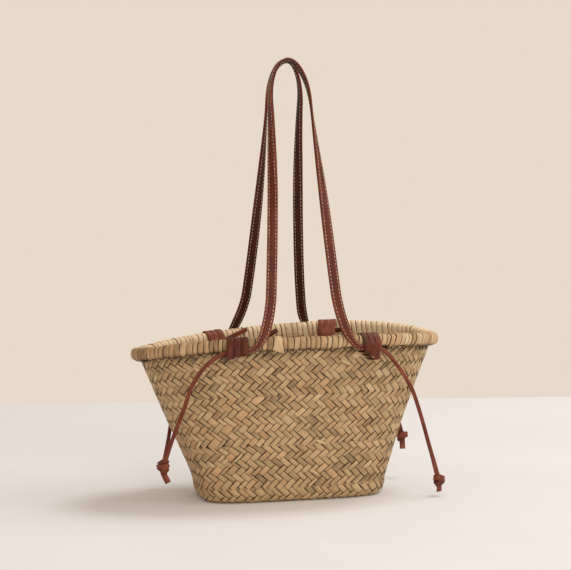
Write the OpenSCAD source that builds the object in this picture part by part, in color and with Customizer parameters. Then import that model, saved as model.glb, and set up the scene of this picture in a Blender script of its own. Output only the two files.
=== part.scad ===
// Market basket of plaited palm leaf with two long leather shoulder straps.
// Millimetres, +Z up, +X along the basket's length, -Y towards its front.
// The origin is the middle of the base, on the surface that the basket stands on.

/* [Basket] */
// Length over the rim, from end to end
rim_length = 400; // [390:2:410]
// Depth over the rim, from front to back
rim_depth = 220; // [214:2:226]
// Height of the middle of the rim roll, halfway along the long sides
rim_height = 202; // [198:1:206]
// How far the rim dips at its left end
left_dip = 18; // [0:1:20]
// How far the rim dips at its right end
right_dip = 8; // [0:1:20]
// How steeply the back of the rim sags towards its left end
back_left_sag = 0.075; // [0:0.005:0.09]
// How steeply the back of the rim lifts towards its right end
back_right_lift = 0.052; // [0:0.004:0.08]
// Length of the wall where the rounded corner of the base begins
base_length = 244; // [236:2:252]
// Depth of the wall where the rounded corner of the base begins
base_depth = 128; // [122:2:134]
// Height of the rounded corner of the base
corner_height = 22; // [16:1:26]
// How far the flat of the base stands in from the wall above it
corner_inset = 10; // [6:1:14]
// Thickness of the plaited braid
braid_thickness = 4; // [3:0.5:4.5]
// Number of braid courses sewn one above the other in the wall
wall_courses = 3; // [3:1:3]
// Radius of the twine that sews the courses together
twine_radius = 1.1; // [0.8:0.1:1.4]

/* [Rim] */
// Radius of the whipped rim roll
roll_radius = 8; // [7.5:0.25:8.5]
// Thickness of the leaf whipping round the core
whipping_thickness = 1.6; // [1.2:0.1:2]

/* [Straps] */
// Width of a shoulder strap
strap_width = 13; // [11:0.5:14]
// Width of a strap's narrowed end, where it is tied to the rim
strap_end_width = 7; // [6:0.5:8]
// Thickness of each of the strap's two layers
strap_layer = 1.6; // [1.2:0.1:1.8]
// Height of the middle of the straps at the top of their arch
strap_top = 553; // [535:1:570]
// Distance from a row of stitches to the edge of the strap
stitch_margin = 2.4; // [1.8:0.1:3]

/* [Laces] */
// Width of the leather lace where it is wound
lace_width = 7.4; // [7:0.1:7.5]
// Thickness of the leather lace where it is wound
lace_thickness = 1.8; // [1.4:0.1:2]
// Turns of lace in each binding
lace_turns = 3; // [2:1:3]
// Radius of the hanging lace tails
tail_radius = 2.6; // [2.2:0.1:2.8]
// Radius of the knot near the end of each tail
knot_radius = 7; // [6:0.5:7.5]

/* [Hidden] */

// Colours
straw = "#cdb98d";
pale_straw = "#dccba3";
twine_tan = "#a48d60";
chestnut = "#7a3f2a";
dark_leather = "#4a281b";
thread_cream = "#e6dcc8";

// Stations round the basket, and sides of the round sections
around = 60;
section_sides = 10;

// Clearance between fixed pieces that touch, and the gap at a joint
contact_gap = 0.3;
joint_gap = 0.5;

// Superellipse exponents: the base is a rounded rectangle and the rim an oval
base_squareness = 4;
rim_squareness = 2;

// The rim roll's centreline, and the wall's outer outline under it
roll_a = rim_length / 2 - roll_radius;
roll_b = rim_depth / 2 - roll_radius;
wall_inset = 3;
dip_power = 3.2;
seam_gap = 0.4;

// Rest height of the strap where it lies on the rim, below the roll's centre
strap_drop = 7;
strap_thickness = 2 * strap_layer;
strap_stand_off = roll_radius + contact_gap + 0.4 + strap_thickness / 2;
// A strap's upper part stands to one side, moved there smoothly above this height
shift_from = rim_height - strap_drop;
// A strap takes up the rim's own height at its bindings, and loses it over this rise
settle_rise = 80;
// A strap widens from its narrow end to its full width over this rise
widen_rise = 25;
// The strap starts to lean inward above lean_start, through a smooth bend this long
lean_start = rim_height + 4;
lean_bend = 20;
// Middle of each strap at the top: the two straps lean on each other edge to edge there
apex_y = strap_width / 2 + joint_gap / 2;
// Heights between which the strap turns from facing front to facing up over the arch
twist_from = 285;
twist_to = 560;
stitch_width = 0.9;
stitch_height = 0.3;
layer_gap = 0.04;

// Distance along the rim from the middle to each binding's middle
front_binding_x = 82;
back_binding_x = 77;
turn_pitch = 8;
binding_half = lace_turns * turn_pitch / 2;
wound_gap = 0.5;
// A turn of lace goes over the roll and in to turn_inside from its centre. The turn nearest
// the middle of the basket goes down to turn_floor, and each further turn goes a little lower.
turn_inside = 10.8;
turn_floor = 12;
turn_bevel = 1.5;
// Free height above and below each turn in its slit through the wall's top course
slit_gap = 0.7;
// The strap end stops this far inside its binding, clear of the strap that bends up
strap_end_inset = 2.5;
// The lace's short end leaves the binding this far inside the roll and below its centre,
// and moves further inside along its length. It is curled, so narrower than the wound lace.
stub_gap = 3.2;
stub_drop = 4;
stub_spread = 5;
stub_width = 5.8;

// Each strap: [side, binding's distance from the middle, how far its arch stands to the right,
// rise over which it moves there, and each half as Bezier stretches of [distance from the middle,
// height]: the bend up from the rim, the long leg and the arch]
front_strap = [-1, front_binding_x, 4, 220,
  [[58, 198], [47, 216], [41, 258]],
  [[37.5, 300], [28.5, 430], [26, 500]],
  [[24.5, 530], [13, strap_top], [0, strap_top]]];
back_strap = [1, back_binding_x, 5, 60,
  [[54, 198], [43, 214], [37, 250]],
  [[32, 286], [22, 420], [22, 500]],
  [[22, 530], [12, strap_top], [0, strap_top]]];

// A hanging tail lies in an upright plane that leaves the rim along its curve.
// Its route is [distance out from the binding, height above the exit], with the knot at its end.
tail_turn = 16;
front_left_route = [[0, 0], [7, -2], [13, -5], [23, -12], [33, -22], [42, -35], [49, -50], [54, -65],
  [60, -81], [66, -96], [72, -111], [76, -122], [80, -133], [82, -140]];
front_right_route = [[0, 0], [6, -3], [13, -8], [22, -18], [32, -30], [41, -43], [49, -57], [57, -78],
  [64, -99], [71, -122], [78, -144], [84, -164], [87, -172]];
back_left_route = [[0, 0], [6, -2], [13, -6], [21, -13], [28, -22], [35, -34], [40, -47], [44, -62],
  [48, -78], [51, -95], [54, -113], [58, -132], [62, -150], [64, -158]];
back_right_route = [[0, 0], [7, -3], [16, -10], [27, -20], [38, -33], [48, -46], [57, -60], [65, -75],
  [72, -91], [79, -108], [84, -124], [87, -137], [89, -145]];
// Each corner's lace: [right or left, front or back, binding's distance from the middle,
// drop of the tail's exit below the roll's centre, tail's route, step down from turn to turn]
front_left = [-1, -1, front_binding_x, 7, front_left_route, 1.5];
front_right = [1, -1, front_binding_x, 9, front_right_route, 4.75];
back_left = [-1, 1, back_binding_x, 5, back_left_route, 1.5];
back_right = [1, 1, back_binding_x, 5, back_right_route, 1.5];
tip_length = 13;

// --- Mathematics ---

function mix(a, b, k) = a + (b - a) * k;
function clamp01(k) = max(0, min(1, k));
function smooth01(k) = clamp01(k) * clamp01(k) * (3 - 2 * clamp01(k));
function unit(v) = v / norm(v);

// Point of a superellipse with half axes a and b
function oval(a, b, squareness, angle) =
  let (scale = pow(pow(abs(cos(angle)), squareness) + pow(abs(sin(angle)), squareness), -1 / squareness))
  [a * scale * cos(angle), b * scale * sin(angle)];

function bezier(p0, p1, p2, p3, k) =
  pow(1 - k, 3) * p0 + 3 * pow(1 - k, 2) * k * p1 + 3 * (1 - k) * k * k * p2 + k * k * k * p3;

// Solid through a list of closed sections. Seen along its path, each section runs anticlockwise.
// The two halves of a section split their facets along opposite diagonals, so that
// layers which lie on each other have the same creases where they meet.
module skin(sections, closed = false) {
  m = len(sections[0]);
  n = len(sections);
  sides = [for (i = [0:n - (closed ? 1 : 2)], j = [0:m - 1])
    let (a = i * m + j, b = i * m + (j + 1) % m, c = ((i + 1) % n) * m + (j + 1) % m,
      d = ((i + 1) % n) * m + j)
    each j < m / 2 ? [[a, c, b], [a, d, c]] : [[a, d, b], [b, d, c]]];
  start_cap = [[for (j = [0:m - 1]) j]];
  end_cap = [[for (j = [m - 1:-1:0]) (n - 1) * m + j]];
  polyhedron(points = [for (s = sections) each s],
    faces = closed ? sides : concat(sides, start_cap, end_cap));
}

// Everything on the back side is the front's shape seen in a mirror
module on_side(front_or_back) {
  if (front_or_back < 0) children();
  else mirror([0, 1, 0]) children();
}

// --- Basket wall and base ---

function rim_dip(x) = (x < 0 ? left_dip : right_dip) * pow(abs(x) / (rim_length / 2), dip_power);
// The back of the rim isn't level: it is lower on the left and higher on the right
function back_warp(angle) =
  let (x = roll_a * cos(angle)) max(0, sin(angle)) * x * (x < 0 ? back_left_sag : back_right_lift);
function rim_z(x, angle) = rim_height - rim_dip(x) + back_warp(angle);
function roll_point(angle) =
  let (p = oval(roll_a, roll_b, rim_squareness, angle)) [p.x, p.y, rim_z(p.x, angle)];

function base_corner_point(inset, angle, z) =
  let (p = oval(base_length / 2 - inset, base_depth / 2 - inset, base_squareness, angle)) [p.x, p.y, z];
function wall_top_point(inset, angle) =
  let (p = oval(roll_a - wall_inset - inset, roll_b - wall_inset - inset, rim_squareness, angle))
  [p.x, p.y, rim_z(p.x, angle) - roll_radius - contact_gap];
// The wall runs straight from the base's corner, at 0, to under the rim, at 1
function wall_point(inset, angle, k) =
  mix(base_corner_point(inset, angle, corner_height), wall_top_point(inset, angle), k);

wall_rise = rim_height - roll_radius - corner_height;
seam_share = seam_gap / wall_rise;

module wall_band(course) {
  low = course / wall_courses + seam_share / 2;
  high = (course + 1) / wall_courses - (course + 1 < wall_courses ? seam_share / 2 : 0);
  skin([for (i = [0:around - 1]) let (angle = 360 * i / around)
    [wall_point(0, angle, high), wall_point(0, angle, low),
      wall_point(braid_thickness, angle, low), wall_point(braid_thickness, angle, high)]], closed = true);
}

module lower_wall_band() color(straw) wall_band(0);

module middle_wall_band() color(straw) wall_band(1);

// Each turn of the bindings passes through its own slit in the top course
module upper_wall_band() color(straw) difference() {
  wall_band(2);
  for (corner = [front_left, front_right, back_left, back_right], turn = [0:lace_turns - 1])
    on_side(corner[1]) at_rim(turn_x(corner, turn), corner[1])
      translate([-turn_pitch / 2 - 0.2, braid_thickness / 2,
        -turn_drop(corner, turn) - lace_thickness - slit_gap])
        cube([turn_pitch + 0.4, 3 * braid_thickness, lace_thickness + 2 * slit_gap]);
}

module base_band() color(straw) {
  outer = [for (a = [90:-30:0])
    let (inset = corner_inset * (1 - cos(a)), z = corner_height * (1 - sin(a)))
    [for (i = [around - 1:-1:0]) base_corner_point(inset, 360 * i / around, z)]];
  inner = [for (a = [0:30:90])
    let (inset = braid_thickness + (corner_inset - 1) * (1 - cos(a)),
      z = mix(corner_height, braid_thickness, sin(a)))
    [for (i = [around - 1:-1:0]) base_corner_point(inset, 360 * i / around, z)]];
  skin(concat(outer, inner));
}

// Ring of twine along the inside of a seam
module seam_ring(k) {
  skin([for (i = [0:around - 1]) let (angle = 360 * i / around,
      centre = wall_point(braid_thickness + twine_radius + contact_gap, angle, k),
      out = unit([centre.x, centre.y, 0]))
    [for (s = [0:5]) centre + twine_radius * (sin(60 * s) * out + [0, 0, cos(60 * s)])]], closed = true);
}

module seam_twine() color(twine_tan) {
  for (course = [0:wall_courses - 1]) seam_ring(course / wall_courses);
}

// --- Rim ---

// Outward direction of the rim roll, level with the ground
function roll_out(angle) =
  let (p = roll_point(angle)) unit([p.x / (roll_a * roll_a), p.y / (roll_b * roll_b), 0]);

module rim_core() color(twine_tan) {
  radius = roll_radius - whipping_thickness - contact_gap;
  skin([for (i = [0:around - 1]) let (angle = 360 * i / around)
    [for (s = [0:section_sides - 1]) let (a = 360 * s / section_sides)
      roll_point(angle) + radius * (sin(a) * roll_out(angle) + [0, 0, cos(a)])]], closed = true);
}

// A sleeve of leaf wraps, open along a slit over the wall's top edge
module rim_whipping() color(pale_straw) {
  slit_middle = 232;
  slit_half = 10;
  step = (360 - 2 * slit_half) / section_sides;
  slit_end = slit_middle - slit_half;
  skin([for (i = [0:around - 1])
    let (angle = 360 * i / around, c = roll_point(angle), out = roll_out(angle))
    concat(
      [for (s = [0:section_sides]) let (a = slit_end - s * step)
        c + roll_radius * (cos(a) * out + [0, 0, sin(a)])],
      [for (s = [section_sides:-1:0]) let (a = slit_end - s * step)
        c + (roll_radius - whipping_thickness) * (cos(a) * out + [0, 0, sin(a)])])], closed = true);
}

// Roll's centreline at distance x along the basket: its depth, how far the warp of its side
// lifts it, and its height
function roll_y(x) = roll_b * sqrt(1 - pow(x / roll_a, 2));
function roll_lift(x, side) = side < 0 ? 0 : back_warp(acos(x / roll_a));
function roll_z(x, side) = rim_height - rim_dip(x) + roll_lift(x, side);
function roll_turn(x) = atan(roll_b * roll_b * x / (roll_a * roll_a * roll_y(x)));

// Places children on the front of the roll, at its side's height: X along the rim, -Y outward
module at_rim(x, side)
  translate([x, -roll_y(x), roll_z(x, side)]) rotate([0, 0, roll_turn(x)]) children();

// --- Lace bindings ---

// Where a turn stands along the rim, counted from the middle outward, and how low it goes
function turn_x(corner, turn) = corner[0] * (corner[2] - binding_half + (turn + 0.5) * turn_pitch);
function turn_drop(corner, turn) = turn_floor + turn * corner[5];

// Outline of one turn of lace round the roll, the strap end and the top of the wall
function turn_outline(grow, drop) =
  let (r = roll_radius + wound_gap + grow,
    outer = strap_stand_off + strap_thickness / 2 + wound_gap + grow,
    inner = turn_inside + grow, low = -drop - grow, end_top = strap_end_width / 2 - strap_drop)
  concat(
    [for (a = [165:-15:0]) [r * cos(a), r * sin(a)]],
    [[inner, -6], [inner, low + turn_bevel], [inner - turn_bevel, low], [turn_bevel - outer, low],
      [-outer, low + turn_bevel], [-outer, end_top + 2 * wound_gap]]);

module lace_turn(x, drop, side)
  at_rim(x, side) rotate([90, 0, 90]) translate([0, 0, -lace_width / 2])
  linear_extrude(lace_width) difference() {
    polygon(turn_outline(lace_thickness, drop));
    polygon(turn_outline(0, drop));
  }

module binding(corner) color(chestnut) on_side(corner[1]) {
  for (turn = [0:lace_turns - 1])
    lace_turn(turn_x(corner, turn), turn_drop(corner, turn), corner[1]);
}

// Short end of the lace inside the rim: it leaves the binding towards the middle or the outside.
// The binding's inner side stands nearer the middle than its outer side, as the rim turns.
module lace_end(corner, reach, rise) color(chestnut) on_side(corner[1]) {
  travel = sign(reach);
  side_x = corner[0] * corner[2] + travel * (binding_half + joint_gap);
  start_x = side_x - (turn_inside + lace_thickness) * sin(roll_turn(side_x));
  steps = 6;
  skin([for (i = [0:steps]) let (k = i / steps, x = start_x + reach * k,
      y = -roll_y(x) + roll_radius + stub_gap + stub_spread * k,
      z = roll_z(x, corner[1]) - stub_drop + rise * k)
    [for (q = [[1, 1], [-1, 1], [-1, -1], [1, -1]])
      [x, y + travel * q[0] * lace_thickness / 2, z + q[1] * stub_width / 2]]]);
}

// --- Straps ---

function strap_rim_y(x) =
  (roll_b + strap_stand_off) * sqrt(1 - pow(x / (roll_a + strap_stand_off), 2));
function lean(z) =
  let (h = z - lean_start + lean_bend / 2)
  h < 0 ? 0 : h < lean_bend ? h * h / (2 * lean_bend) : h - lean_bend / 2;
// Middle surface of the front strap: from the rim's outside it leans in to the top of the arch
function strap_y(x, z) = -mix(strap_rim_y(x), apex_y, lean(z) / (strap_top - lean_start));
function strap_place(x, z) = [x, strap_y(x, z), z];

// Half of the strap from its binding to the top, as [x, z] with x positive
function strap_half(strap) =
  let (start = [strap[1] - binding_half - joint_gap, rim_height - strap_drop],
    bend = strap[4], leg = strap[5], arch = strap[6])
  concat(
    [for (k = [0:0.125:0.99]) bezier(start, bend[0], bend[1], bend[2], k)],
    [for (k = [0:0.125:0.99]) bezier(bend[2], leg[0], leg[1], leg[2], k)],
    [for (k = [0:0.125:1]) bezier(leg[2], arch[0], arch[1], arch[2], k)]);

// Whole centreline, left binding to right binding, its upper part moved to the right
function strap_path(strap) =
  let (half = strap_half(strap), last = len(half) - 1)
  [for (i = [0:2 * last]) let (p = half[i <= last ? i : 2 * last - i], hand = i < last ? -1 : 1,
      shift = strap[2] * smooth01((p.y - shift_from) / strap[3]))
    strap_place(hand * p.x + shift, p.y)];

// How far a strap's lower part follows the height of the rim at its binding
function strap_lift(strap, p) =
  let (settled = smooth01((p.z - shift_from) / settle_rise))
  roll_lift(sign(p.x) * (strap[1] - binding_half), strap[0]) * (1 - settled);

// Frames along the strap: [middle, across, outward]. Across is shorter where the strap is narrower.
function strap_frames(strap) =
  let (path = strap_path(strap), last = len(path) - 1)
  [for (i = [0:last])
    let (p = path[i], along = unit(path[min(i + 1, last)] - path[max(i - 1, 0)]), small = 0.5,
      slope_x = (strap_y(p.x + small, p.z) - strap_y(p.x - small, p.z)) / (2 * small),
      slope_z = (strap_y(p.x, p.z + small) - strap_y(p.x, p.z - small)) / (2 * small),
      surface = unit([slope_x, -1, slope_z]), front = unit(surface - along * (surface * along)),
      up = cross(front, along), twist = 90 * smooth01((p.z - twist_from) / (twist_to - twist_from)),
      out = cos(twist) * front + sin(twist) * up,
      narrowed = mix(strap_end_width / strap_width, 1, smooth01((p.z - shift_from) / widen_rise)))
    [p + [0, 0, strap_lift(strap, p)], narrowed * cross(out, along), out]];

// Band along the strap's frames, through rising distances across it, and from depth low to high
module strap_band(frames, across, depth) {
  last = len(across) - 1;
  skin([for (f = frames) concat(
    [for (i = [0:last]) f[0] + across[i] * f[1] + depth[0] * f[2]],
    [for (i = [last:-1:0]) f[0] + across[i] * f[1] + depth[1] * f[2]])]);
}

// Each layer has a crease along both sides of each row of stitches, so that the thread lies on it
stitch_row = strap_width / 2 - stitch_margin;
layer_across = [-strap_width / 2, -stitch_row - stitch_width / 2, -stitch_row + stitch_width / 2,
  stitch_row - stitch_width / 2, stitch_row + stitch_width / 2, strap_width / 2];

module strap_face(strap) color(chestnut) on_side(strap[0])
  strap_band(strap_frames(strap), layer_across, [layer_gap / 2, strap_layer]);

module strap_lining(strap) color(dark_leather) on_side(strap[0])
  strap_band(strap_frames(strap), layer_across, [-strap_layer, -layer_gap / 2]);

// Rows of thread near both edges, on the face and on the lining
module strap_stitching(strap) color(thread_cream) on_side(strap[0]) {
  frames = strap_frames(strap);
  near = strap_layer + layer_gap;
  far = near + stitch_height;
  for (row = [-stitch_row, stitch_row], depth = [[-far, -near], [near, far]])
    strap_band(frames, [row - stitch_width / 2, row + stitch_width / 2], depth);
}

// The end of the strap that lies along the rim, under the binding
module strap_end(corner) color(chestnut) on_side(corner[1]) {
  low = corner[2] - binding_half + strap_end_inset;
  high = corner[2] + binding_half - 1;
  steps = 5;
  skin([for (i = [0:steps])
    let (x = corner[0] > 0 ? mix(low, high, i / steps) : mix(-high, -low, i / steps),
      a = roll_turn(x), out = [sin(a), -cos(a), 0],
      c = [x, -strap_rim_y(x), rim_height - strap_drop + roll_lift(x, corner[1])])
    [for (q = [[-1, -1], [1, -1], [1, 1], [-1, 1]])
      c + q[0] * strap_end_width / 2 * [0, 0, -1] + q[1] * strap_thickness / 2 * out]]);
}

// --- Hanging tails ---

// Exit of a corner's tail from its binding, on the front side
function tail_exit(corner) =
  let (x = corner[0] * (corner[2] + binding_half + 2 * joint_gap))
  [x, -strap_rim_y(x) + 1, roll_z(x, corner[1]) - corner[3]];
function tail_way(corner) = [corner[0] * cos(tail_turn), sin(tail_turn), 0];
function tail_point(corner, p) = tail_exit(corner) + p.x * tail_way(corner) + [0, 0, p.y];

module lace_tail(corner) color(chestnut) on_side(corner[1]) {
  route = corner[4];
  last = len(route) - 1;
  way = tail_way(corner);
  sideways = cross([0, 0, 1], way);
  skin([for (i = [0:last])
    let (step = unit(route[min(i + 1, last)] - route[max(i - 1, 0)]),
      rise = i == 0 ? [0, 0, 1] : -step.y * way + [0, 0, step.x])
    [for (s = [0:7]) tail_point(corner, route[i])
      + tail_radius * (cos(45 * s) * rise - sin(45 * s) * sideways)]]);
}

// Overhand knot with the flat tip of the lace below it
module knot(corner) color(chestnut) on_side(corner[1]) {
  sunk = 2;
  route = corner[4];
  translate(tail_point(corner, route[len(route) - 1])) {
    sphere(r = knot_radius, $fn = 24);
    rotate([0, 0, -corner[0] * tail_turn])
      translate([-lace_width / 2, -lace_thickness / 2, sunk - knot_radius - tip_length])
        cube([lace_width, lace_thickness, tip_length]);
  }
}

base_band();
lower_wall_band();
middle_wall_band();
upper_wall_band();
seam_twine();
rim_core();
rim_whipping();
binding(front_left);  // front_left_binding
binding(front_right);  // front_right_binding
binding(back_left);  // back_left_binding
binding(back_right);  // back_right_binding
lace_end(front_left, 36, 20);  // front_left_lace_end
lace_end(front_right, -22, 4);  // front_right_lace_end
lace_end(back_left, 28, 11);  // back_left_lace_end
lace_end(back_right, 16, 2);  // back_right_lace_end
strap_end(front_left);  // front_left_strap_end
strap_end(front_right);  // front_right_strap_end
strap_end(back_left);  // back_left_strap_end
strap_end(back_right);  // back_right_strap_end
strap_face(front_strap);  // front_strap_face
strap_lining(front_strap);  // front_strap_lining
strap_stitching(front_strap);  // front_strap_stitching
strap_face(back_strap);  // back_strap_face
strap_lining(back_strap);  // back_strap_lining
strap_stitching(back_strap);  // back_strap_stitching
lace_tail(front_left);  // front_left_lace_tail
lace_tail(front_right);  // front_right_lace_tail
lace_tail(back_left);  // back_left_lace_tail
lace_tail(back_right);  // back_right_lace_tail
knot(front_left);  // front_left_knot
knot(front_right);  // front_right_knot
knot(back_left);  // back_left_knot
knot(back_right);  // back_right_knot
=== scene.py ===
"""Looks of a woven market basket: plaited leaf walls, a whipped rim, two leather shoulder straps
and four lace tails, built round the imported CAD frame. Lengths are millimetres until a mesh is made.
"""

import math

import bpy
import numpy as np
from mathutils import Matrix, Vector


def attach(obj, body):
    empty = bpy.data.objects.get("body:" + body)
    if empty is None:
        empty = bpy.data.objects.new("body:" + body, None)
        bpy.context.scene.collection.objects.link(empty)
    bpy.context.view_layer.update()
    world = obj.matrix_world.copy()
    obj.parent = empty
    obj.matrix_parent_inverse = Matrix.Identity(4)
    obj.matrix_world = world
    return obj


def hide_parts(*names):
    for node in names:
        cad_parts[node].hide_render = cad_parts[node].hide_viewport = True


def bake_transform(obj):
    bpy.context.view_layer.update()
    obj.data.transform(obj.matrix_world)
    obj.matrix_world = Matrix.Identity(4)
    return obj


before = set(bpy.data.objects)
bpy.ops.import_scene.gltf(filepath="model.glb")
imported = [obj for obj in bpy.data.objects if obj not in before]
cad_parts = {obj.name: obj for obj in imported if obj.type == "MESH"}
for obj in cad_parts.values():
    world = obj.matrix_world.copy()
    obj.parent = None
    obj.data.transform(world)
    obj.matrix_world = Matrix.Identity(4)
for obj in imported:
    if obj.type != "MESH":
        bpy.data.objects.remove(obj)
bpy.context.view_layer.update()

MM = 0.001
UP = np.array([0.0, 0.0, 1.0])

# --- Dimensions shared with the CAD source ---

RIM_LENGTH, RIM_DEPTH, RIM_HEIGHT = 400, 220, 202
LEFT_DIP, RIGHT_DIP, DIP_POWER = 18, 8, 3.2
BACK_LEFT_SAG, BACK_RIGHT_LIFT = 0.075, 0.052
BASE_LENGTH, BASE_DEPTH = 244, 128
CORNER_HEIGHT, CORNER_INSET = 22, 10
BASE_SQUARENESS, RIM_SQUARENESS = 4, 2
BRAID_THICKNESS = 4
ROLL_RADIUS = 8
WALL_INSET, CONTACT_GAP, JOINT_GAP = 3, 0.3, 0.5
ROLL_A, ROLL_B = RIM_LENGTH / 2 - ROLL_RADIUS, RIM_DEPTH / 2 - ROLL_RADIUS

STRAP_WIDTH, STRAP_END_WIDTH, STRAP_LAYER, STRAP_TOP = 13, 7, 1.6, 553
STRAP_DROP, STRAP_STAND_OFF, STITCH_MARGIN = 7, 10.3, 2.4
STRAP_LEVEL = RIM_HEIGHT - STRAP_DROP
SETTLE_RISE, WIDEN_RISE = 80, 25
LEAN_START, LEAN_BEND = RIM_HEIGHT + 4, 20
APEX_Y = STRAP_WIDTH / 2 + JOINT_GAP / 2
TWIST_FROM, TWIST_TO = 285, 560

LACE_WIDTH, LACE_THICKNESS, LACE_TURNS, TURN_PITCH = 7.4, 1.8, 3, 8
BINDING_HALF = LACE_TURNS * TURN_PITCH / 2
FRONT_BINDING_X, BACK_BINDING_X = 82, 77
TAIL_TURN = math.radians(16)

# Straps: side, binding's x, shift of the arch, rise of the shift, and Bezier stretches of (x, z)
FRONT_STRAP = (-1, FRONT_BINDING_X, 4, 220,
               [(58, 198), (47, 216), (41, 258)],
               [(37.5, 300), (28.5, 430), (26, 500)],
               [(24.5, 530), (13, STRAP_TOP), (0, STRAP_TOP)])
BACK_STRAP = (1, BACK_BINDING_X, 5, 60,
              [(54, 198), (43, 214), (37, 250)],
              [(32, 286), (22, 420), (22, 500)],
              [(22, 530), (12, STRAP_TOP), (0, STRAP_TOP)])

# Tail routes, as (distance out from the binding, height above the exit)
FRONT_LEFT_ROUTE = [(0, 0), (7, -2), (13, -5), (23, -12), (33, -22), (42, -35), (49, -50), (54, -65),
                    (60, -81), (66, -96), (72, -111), (76, -122), (80, -133), (82, -140)]
FRONT_RIGHT_ROUTE = [(0, 0), (6, -3), (13, -8), (22, -18), (32, -30), (41, -43), (49, -57), (57, -78),
                     (64, -99), (71, -122), (78, -144), (84, -164), (87, -172)]
BACK_LEFT_ROUTE = [(0, 0), (6, -2), (13, -6), (21, -13), (28, -22), (35, -34), (40, -47), (44, -62),
                   (48, -78), (51, -95), (54, -113), (58, -132), (62, -150), (64, -158)]
BACK_RIGHT_ROUTE = [(0, 0), (7, -3), (16, -10), (27, -20), (38, -33), (48, -46), (57, -60), (65, -75),
                    (72, -91), (79, -108), (84, -124), (87, -137), (89, -145)]

# Corners: name: (right or left, front or back, binding's x, drop of the tail's exit, route,
# reach and rise of the lace's short end)
CORNERS = {
    "front_left": (-1, -1, FRONT_BINDING_X, 7, FRONT_LEFT_ROUTE, 36, 20),
    "front_right": (1, -1, FRONT_BINDING_X, 9, FRONT_RIGHT_ROUTE, -22, 4),
    "back_left": (-1, 1, BACK_BINDING_X, 5, BACK_LEFT_ROUTE, 28, 11),
    "back_right": (1, 1, BACK_BINDING_X, 5, BACK_RIGHT_ROUTE, 16, 2),
}

# --- Camera ---

CAMERA_AZIMUTH, CAMERA_ELEVATION, CAMERA_ROLL = -12.9, 3.12, -0.77
CAMERA_DISTANCE, CAMERA_TARGET_HEIGHT, CAMERA_SIDE = 2150, 268.1, -0.4
CAMERA_LENS = 106.1


def direction(azimuth, elevation):
    """From the object towards a viewer at that azimuth and elevation, in degrees."""
    a, e = math.radians(azimuth), math.radians(elevation)
    return np.array([math.sin(a) * math.cos(e), -math.cos(a) * math.cos(e), math.sin(e)])


def make_camera():
    back = direction(CAMERA_AZIMUTH, CAMERA_ELEVATION)
    right = direction(CAMERA_AZIMUTH + 90, 0)
    up = np.cross(back, right)
    target = np.array([0, 0, CAMERA_TARGET_HEIGHT]) + CAMERA_SIDE * right
    roll = math.radians(CAMERA_ROLL)
    right, up = right * math.cos(roll) + up * math.sin(roll), up * math.cos(roll) - right * math.sin(roll)
    camera = bpy.data.objects.new("camera", bpy.data.cameras.new("camera"))
    camera.data.lens = CAMERA_LENS
    camera.data.sensor_width = 36
    place = Matrix([[*axis, 0] for axis in np.array([right, up, back]).T] + [[0, 0, 0, 1]])
    place.translation = Vector((target + CAMERA_DISTANCE * back) * MM)
    camera.matrix_world = place
    bpy.context.scene.collection.objects.link(camera)
    bpy.context.scene.camera = camera


make_camera()

# --- Mathematics ---


def mix(a, b, k):
    return a + (b - a) * k


def smooth01(k):
    k = np.clip(k, 0, 1)
    return k * k * (3 - 2 * k)


def unit(v):
    return v / np.linalg.norm(v, axis=-1, keepdims=True)


def oval(a, b, squareness, angle):
    """Superellipse with half axes a and b, as x and y."""
    c, s = np.cos(angle), np.sin(angle)
    scale = (np.abs(c) ** squareness + np.abs(s) ** squareness) ** (-1 / squareness)
    return a * scale * c, b * scale * s


def bezier(p0, p1, p2, p3, k):
    k = k[:, None]
    return (1 - k) ** 3 * p0 + 3 * (1 - k) ** 2 * k * p1 + 3 * (1 - k) * k * k * p2 + k ** 3 * p3


def curve_through(points, spacing):
    """Smooth curve through the points, resampled about that far apart."""
    p = np.array(points, float)
    p = np.vstack([2 * p[0] - p[1], p, 2 * p[-1] - p[-2]])
    fine = []
    for a, b, c, d in zip(p, p[1:], p[2:], p[3:]):
        k = np.linspace(0, 1, 12, endpoint=False)[:, None]
        fine.append(b + 0.5 * k * (c - a + k * (2 * a - 5 * b + 4 * c - d + k * (3 * (b - c) + d - a))))
    return resample(np.vstack([*fine, p[-2:-1]]), spacing)


def travelled(line):
    """Distance along a line at each of its points."""
    return np.concatenate([[0], np.cumsum(np.linalg.norm(np.diff(line, axis=0), axis=1))])


def stacked(*parts):
    """Arrays or numbers spread over one shape and joined as the coordinates of points."""
    return np.stack(np.broadcast_arrays(*parts), axis=-1)


def round_angles(count):
    return np.linspace(0, 2 * math.pi, count, endpoint=False)


def resample(line, spacing):
    at = travelled(line)
    count = max(2, int(round(at[-1] / spacing)) + 1)
    even = np.linspace(0, at[-1], count)
    return np.stack([np.interp(even, at, line[:, i]) for i in range(line.shape[1])], axis=1)


def rounded(points, passes, closed=False):
    """Corners of (..., points, 2) outlines cut off that many times."""
    for _ in range(passes):
        after = np.roll(points, -1, axis=-2)
        cut = np.stack([mix(points, after, 0.25), mix(points, after, 0.75)], axis=-2)
        cut = cut.reshape(*points.shape[:-2], -1, points.shape[-1])
        if not closed:
            cut = np.concatenate([points[..., :1, :], cut[..., 1:-3, :], points[..., -1:, :]], axis=-2)
        points = cut
    return points


def wandering(draw, spread, size):
    """Normal draws cut off at twice their spread."""
    return np.clip(draw.normal(0, spread, size), -2 * spread, 2 * spread)


def along_of(line, closed=False):
    """Unit direction of a line at each of its points."""
    if closed:
        return unit(np.roll(line, -1, axis=0) - np.roll(line, 1, axis=0))
    return unit(np.gradient(line, axis=0))


# --- Meshes ---


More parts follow.
